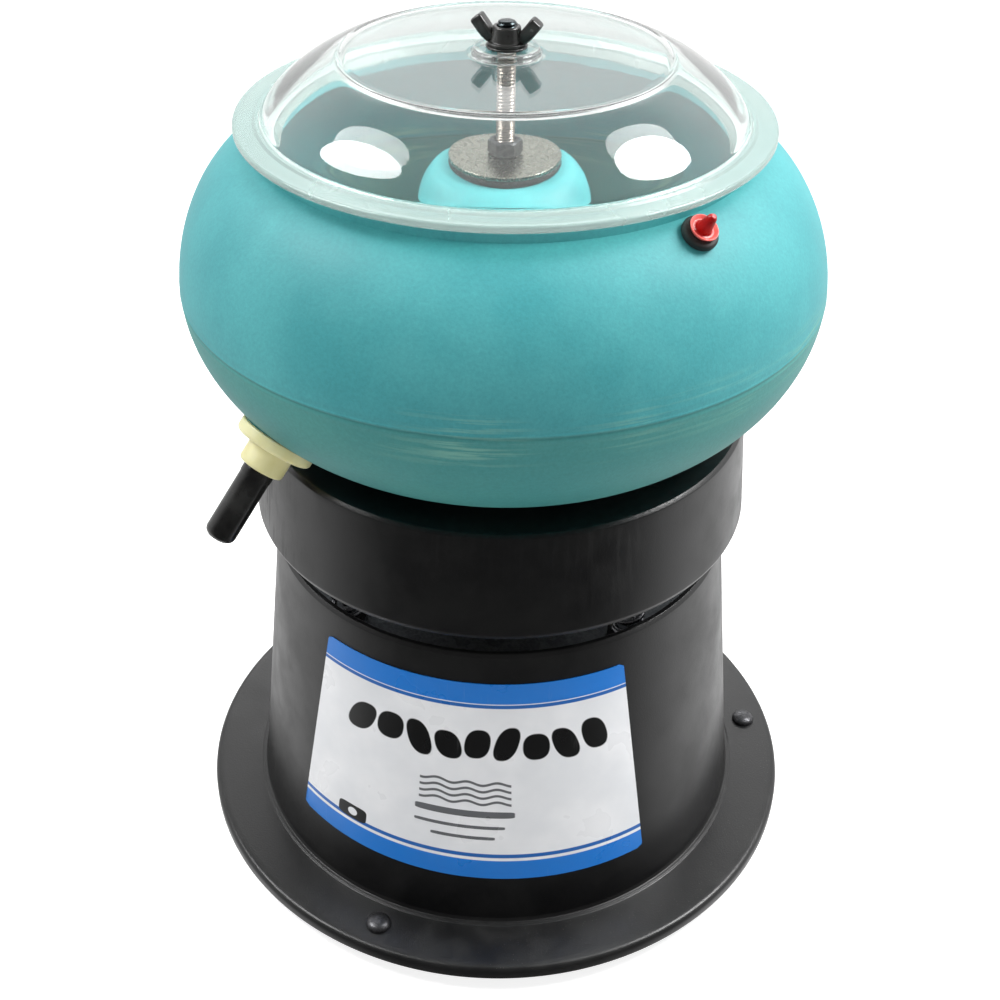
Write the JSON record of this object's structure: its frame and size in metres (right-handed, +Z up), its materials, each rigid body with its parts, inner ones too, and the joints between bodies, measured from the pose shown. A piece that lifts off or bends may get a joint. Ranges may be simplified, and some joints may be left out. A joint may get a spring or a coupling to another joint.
{
  "type": "vibratory rock tumbler",
  "caption": "Vibratory rock tumbler: round black base with a wide flange, sprung black drive head, teal doughnut-shaped bowl with a drain and plug, and a clear domed lid under a wing nut.",
  "frame": {"origin": "on the floor, under the middle of the bowl", "axes": "+Z up along the clamp rod; -Y is the front, where the label is; +X is to the right seen from the front"},
  "size_m": [0.3048, 0.3048, 0.4089],
  "materials": {
    "black_housing": "moulded black plastic with a fine grain and a soft sheen",
    "black_skirt": "smooth black plastic with soft streaks",
    "black_cover": "plain black plastic",
    "label": "silver-white printed film with blue bands and plain graphic shapes",
    "black_rubber": "matt black rubber",
    "cap_rubber": "soft black rubber with a satin shine",
    "dark_steel": "blackened steel",
    "black_nylon": "black moulded nylon",
    "zinc_steel": "zinc-plated steel",
    "rod_steel": "bright turned steel",
    "spring_steel": "bright spring wire",
    "plate_steel": "galvanised sheet steel",
    "teal_bowl": "cast teal polymer, finely mottled, paler along its parting line",
    "clear_lid": "clear glossy plastic, faintly green and milky at its rim",
    "red_plug": "soft red vinyl",
    "cream_nylon": "cream moulded nylon",
    "screen_steel": "perforated stainless steel",
    "motor_paint": "grey painted steel",
    "cast_aluminium": "die-cast aluminium",
    "lamination": "stacked steel laminations",
    "copper": "varnished copper windings",
    "white_nylon": "white moulded nylon",
    "cast_iron": "cast iron"
  },
  "bodies": {
    "base": {"base_housing": "black_housing", "base_label": "label", "rubber_feet": "black_rubber", "foot_screws": "dark_steel", "foot_nuts": "zinc_steel", "bottom_cover": "black_cover", "cover_screws": "zinc_steel", "cord_bushing": "black_rubber", "spring_deck": "plate_steel", "deck_screws": "zinc_steel", "lower_spring_cups": "plate_steel", "lower_cup_screws": "zinc_steel"},
    "isolators": {"spring_isolators": "black_rubber"},
    "springs": {"springs": "spring_steel"},
    "carriage": {"upper_spring_cups": "plate_steel", "upper_cup_screws": "zinc_steel", "drive_plate": "plate_steel", "rod_nuts": "zinc_steel", "plate_screws": "zinc_steel", "skirt": "black_skirt", "bowl": "teal_bowl", "bowl_gasket": "black_rubber", "bowl_washer": "zinc_steel", "bowl_nut": "dark_steel", "center_rod": "rod_steel", "inlet_grommet": "black_rubber", "drain_body": "cream_nylon", "drain_gasket": "black_rubber", "drain_nut": "cream_nylon", "drain_screen": "screen_steel", "motor_can": "motor_paint", "motor_cap_upper": "cast_aluminium", "motor_cap_lower": "cast_aluminium", "stator": "lamination", "windings": "copper", "bearing_upper": "rod_steel", "bearing_lower": "rod_steel", "motor_posts": "zinc_steel", "motor_screws": "zinc_steel"},
    "rotor": {"rotor_core": "lamination", "motor_shaft": "rod_steel", "cooling_fan": "white_nylon", "eccentric_weight": "cast_iron", "weight_screw": "dark_steel"},
    "lid": {"lid": "clear_lid"},
    "lid_washer": {"lid_washer": "black_nylon"},
    "wing_nut": {"wing_nut": "black_nylon"},
    "inlet_plug": {"inlet_plug": "red_plug"},
    "drain_cap": {"drain_cap": "cap_rubber"}
  },
  "joints": [
    {"name": "rock_front_back", "type": "hinge", "parent": "base", "child": "isolators", "pos_m": [0, 0, 0.1705], "axis": [1, 0, 0], "range_deg": [-1.2, 1.2], "stiffness_Nm_per_rad": 50},
    {"name": "rock_sideways", "type": "hinge", "parent": "isolators", "child": "springs", "pos_m": [0, 0, 0.1705], "axis": [0, 1, 0], "range_deg": [-1.2, 1.2], "stiffness_Nm_per_rad": 50},
    {"name": "bounce", "type": "slide", "parent": "springs", "child": "carriage", "axis": [0, 0, 1], "range_m": [-0.003, 0.003], "stiffness_N_per_m": 12000, "springref_m": 0.00411, "deforming": ["springs", "spring_isolators"]},
    {"name": "rotor_spin", "type": "hinge", "parent": "carriage", "child": "rotor", "pos_m": [0, 0, 0.134], "axis": [0, 0, 1], "continuous": true},
    {"name": "lid_lift", "type": "slide", "parent": "carriage", "child": "lid", "axis": [0, 0, 1], "range_m": [0, 0.12]},
    {"name": "nut_rise", "type": "slide", "parent": "lid", "child": "lid_washer", "axis": [0, 0, 1], "range_m": [0, 0.01]},
    {"name": "nut_turn", "type": "hinge", "parent": "lid_washer", "child": "wing_nut", "pos_m": [0, 0, 0.4], "axis": [0, 0, 1], "range_deg": [0, 2520]},
    {"name": "plug_pull", "type": "slide", "parent": "carriage", "child": "inlet_plug", "axis": [0.3508, -0.427, 0.8334], "range_m": [0, 0.015]},
    {"name": "cap_pull", "type": "slide", "parent": "carriage", "child": "drain_cap", "axis": [-0.5234, -0.4016, -0.7515], "range_m": [0, 0.03]}
  ],
  "couplings": [
    {"joint": "nut_rise", "follows": "nut_turn", "m_per_rad": 0.00022458}
  ]
}
